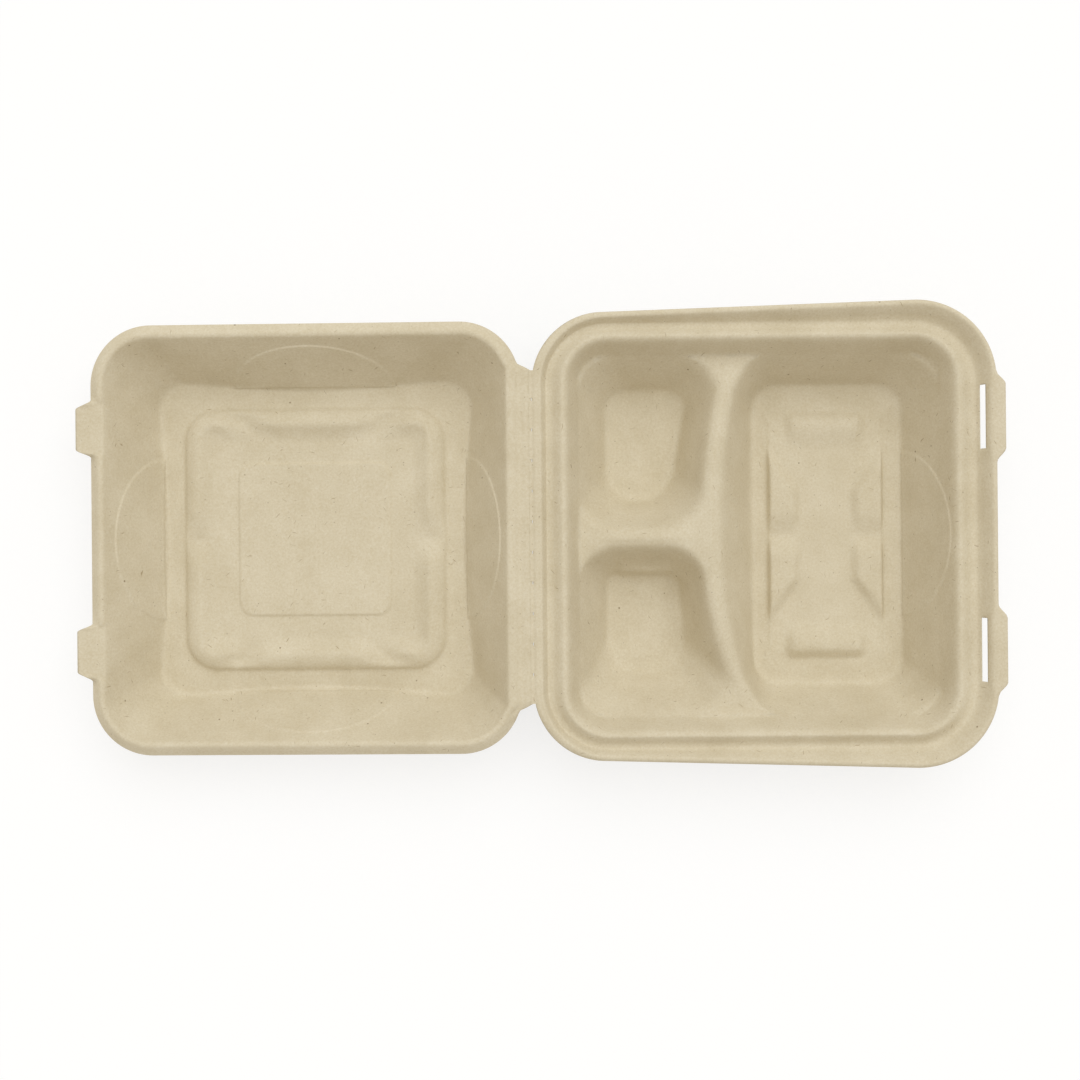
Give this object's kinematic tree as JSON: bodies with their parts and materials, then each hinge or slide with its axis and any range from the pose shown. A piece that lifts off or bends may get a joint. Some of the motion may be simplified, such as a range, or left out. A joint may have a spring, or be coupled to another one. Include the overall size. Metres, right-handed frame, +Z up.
{
  "type": "fiber clamshell container",
  "caption": "Hinged takeaway clamshell in moulded plant fibre, lying open: a compartment base with a rolled rim and front slots, and a shallow tabbed lid with a square raised field.",
  "frame": {"origin": "centre of the bounding box of the open container, at the table it lies on", "axes": "+X from the lid across the crease to the front of the base, +Y along the crease, +Z up out of the open base"},
  "size_m": [0.4662, 0.234, 0.0453],
  "materials": {
    "base_fibre": "matte",
    "lid_fibre": "matte"
  },
  "bodies": {
    "base": {"base": "base_fibre"},
    "lid": {"lid": "lid_fibre"}
  },
  "joints": [
    {"name": "lid_hinge", "type": "hinge", "parent": "base", "child": "lid", "pos_m": [-0.00392, 0, 0.0422], "axis": [0, 1, 0], "range_deg": [0, 181.76]}
  ]
}
